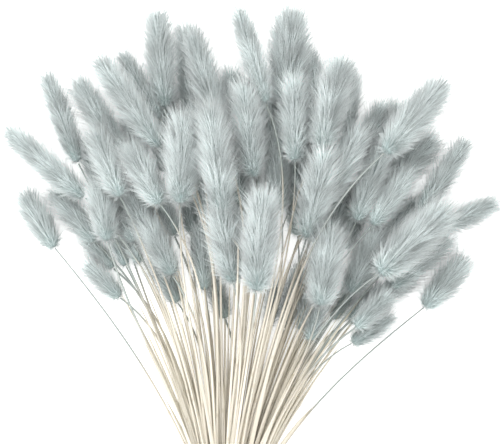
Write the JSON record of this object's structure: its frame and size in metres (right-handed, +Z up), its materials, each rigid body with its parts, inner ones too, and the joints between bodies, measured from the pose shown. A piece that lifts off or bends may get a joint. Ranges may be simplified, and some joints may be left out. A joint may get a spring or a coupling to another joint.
{
  "type": "dried hare's-tail grass bunch",
  "caption": "Tied bunch of dried hare's-tail grass lying on its side, with furry oval blue-grey seed heads fanning out on thin cream stems.",
  "frame": {"origin": "on the surface that the bunch lies on, under the middle of its bounding box", "axes": "+Y along the stems from the cut ends to the seed heads, +Z up from the surface, +X across the fan"},
  "size_m": [0.3454, 0.4536, 0.0932],
  "materials": {
    "seed_heads": "matte",
    "stems": "matte",
    "twine": "matte"
  },
  "bodies": {
    "root": {"stems": "stems", "tie": "twine", "head_01": "seed_heads", "head_02": "seed_heads", "head_03": "seed_heads", "head_04": "seed_heads", "head_05_06": "seed_heads", "head_78_07": "seed_heads", "head_08": "seed_heads", "head_09": "seed_heads", "head_10": "seed_heads", "head_71_80_11_67": "seed_heads", "head_12": "seed_heads", "head_13": "seed_heads", "head_14": "seed_heads", "head_15": "seed_heads", "head_16": "seed_heads", "head_81_17_61": "seed_heads", "head_18": "seed_heads", "head_19": "seed_heads", "head_20": "seed_heads", "head_21": "seed_heads", "head_22": "seed_heads", "head_23": "seed_heads", "head_24": "seed_heads", "head_31_25": "seed_heads", "head_26": "seed_heads", "head_27": "seed_heads", "head_33_28_30_34": "seed_heads", "head_29": "seed_heads", "head_32": "seed_heads", "head_35": "seed_heads", "head_36": "seed_heads", "head_37": "seed_heads", "head_38": "seed_heads", "head_39": "seed_heads", "head_40_42": "seed_heads", "head_66_75_41_68": "seed_heads", "head_43": "seed_heads", "head_70_79_44": "seed_heads", "head_63_45": "seed_heads", "head_46": "seed_heads", "head_47": "seed_heads", "head_48": "seed_heads", "head_49": "seed_heads", "head_50": "seed_heads", "head_51": "seed_heads", "head_52": "seed_heads", "head_53": "seed_heads", "head_54": "seed_heads", "head_56_59_55": "seed_heads", "head_57": "seed_heads", "head_58": "seed_heads", "head_60_62": "seed_heads", "head_76_64_65": "seed_heads", "head_69": "seed_heads", "head_72": "seed_heads", "head_73": "seed_heads", "head_74": "seed_heads", "head_77": "seed_heads"}
  },
  "joints": []
}
